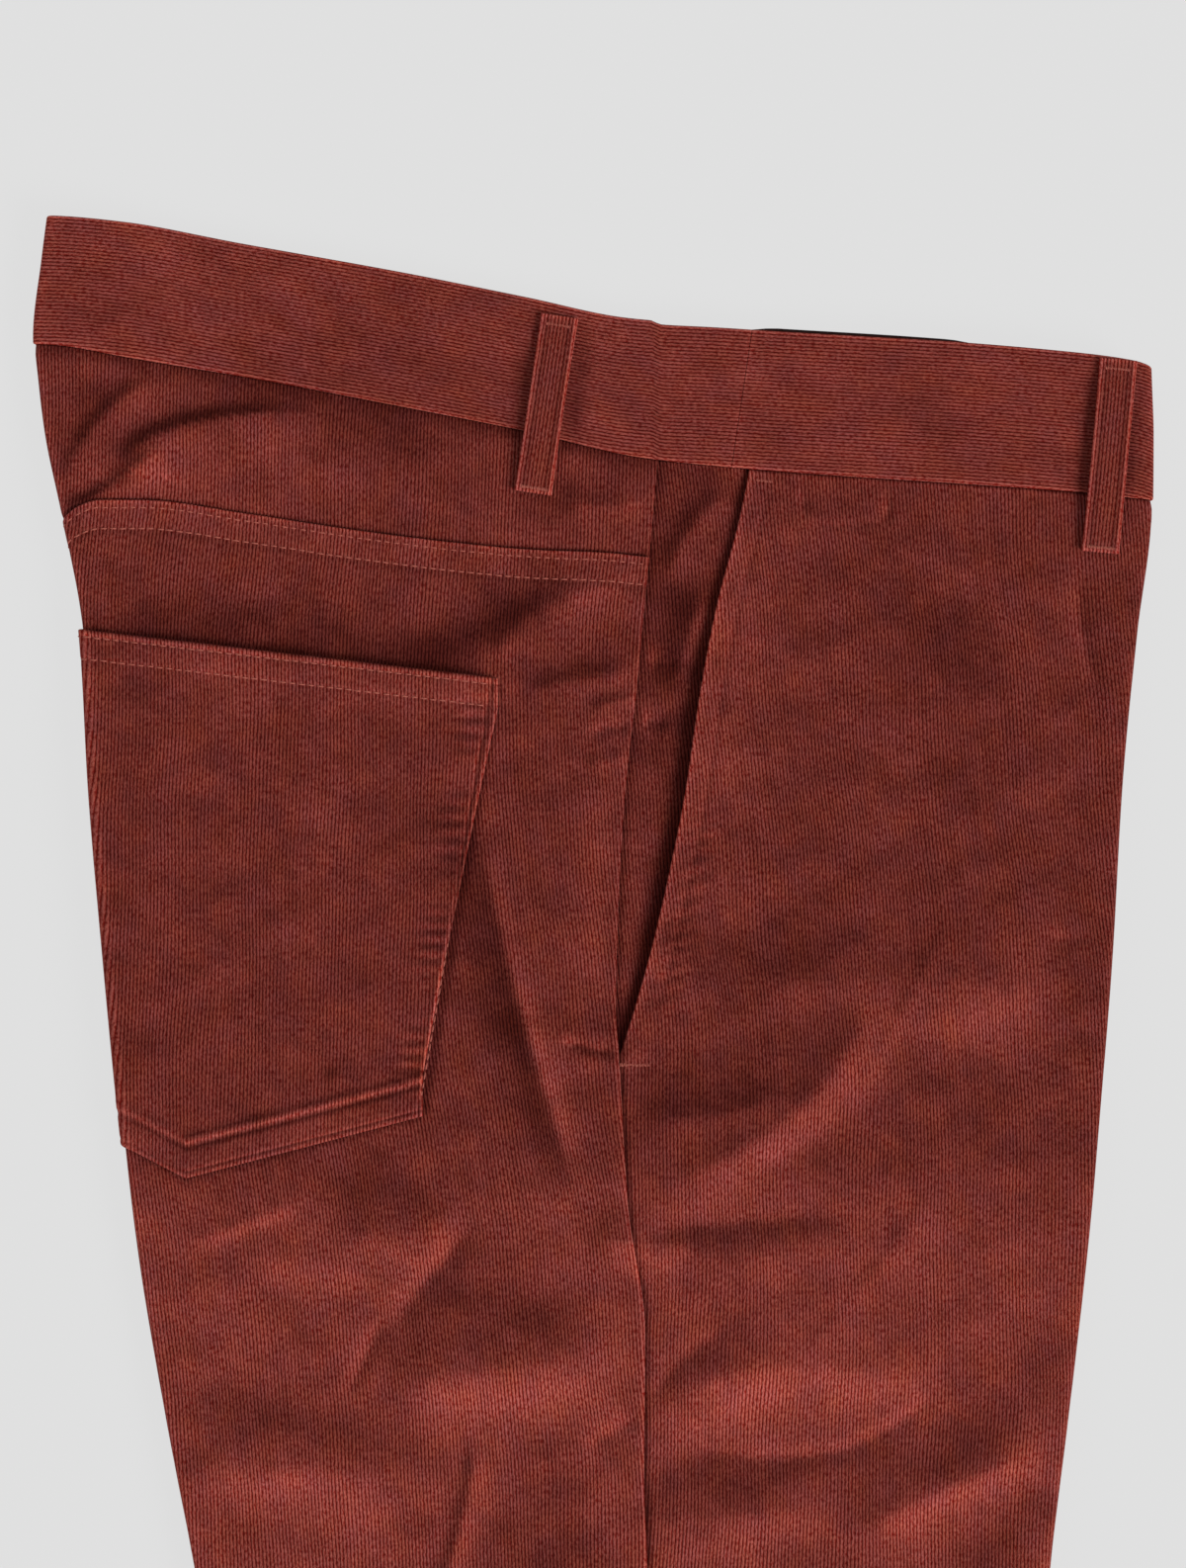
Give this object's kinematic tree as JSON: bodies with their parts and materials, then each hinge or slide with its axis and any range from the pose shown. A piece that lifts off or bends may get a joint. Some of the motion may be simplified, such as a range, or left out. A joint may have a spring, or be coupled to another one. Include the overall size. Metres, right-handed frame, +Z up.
{
  "type": "corduroy trousers",
  "caption": "Needlecord trousers laid flat on one side, pressed along the leg creases, with slant front pockets, a back yoke, patch back pockets and a waistband with belt loops.",
  "frame": {"origin": "on the surface that the trousers lie on, under the middle of their outline", "axes": "+Y along the garment from the hems to the waistband, +X from the back crease to the front crease, +Z up out of the surface"},
  "size_m": [0.3439, 1.0834, 0.013],
  "materials": {
    "corduroy": "rust-red cotton needlecord with a short soft pile",
    "thread": "matching sewing thread",
    "band_facing": "dark cotton waistband facing"
  },
  "bodies": {
    "root": {"right_front_panel": "corduroy", "right_back_panel": "corduroy", "right_back_yoke": "corduroy", "right_pocket_facing": "corduroy", "right_back_pocket": "corduroy", "right_waistband_back": "corduroy", "right_waistband_front": "corduroy", "right_side_back_belt_loop": "corduroy", "right_front_belt_loop": "corduroy", "left_front_panel": "corduroy", "left_back_panel": "corduroy", "left_back_yoke": "corduroy", "left_pocket_facing": "corduroy", "left_back_pocket": "corduroy", "left_waistband_back": "corduroy", "left_waistband_front": "corduroy", "left_side_back_belt_loop": "corduroy", "left_front_belt_loop": "corduroy"}
  },
  "joints": []
}
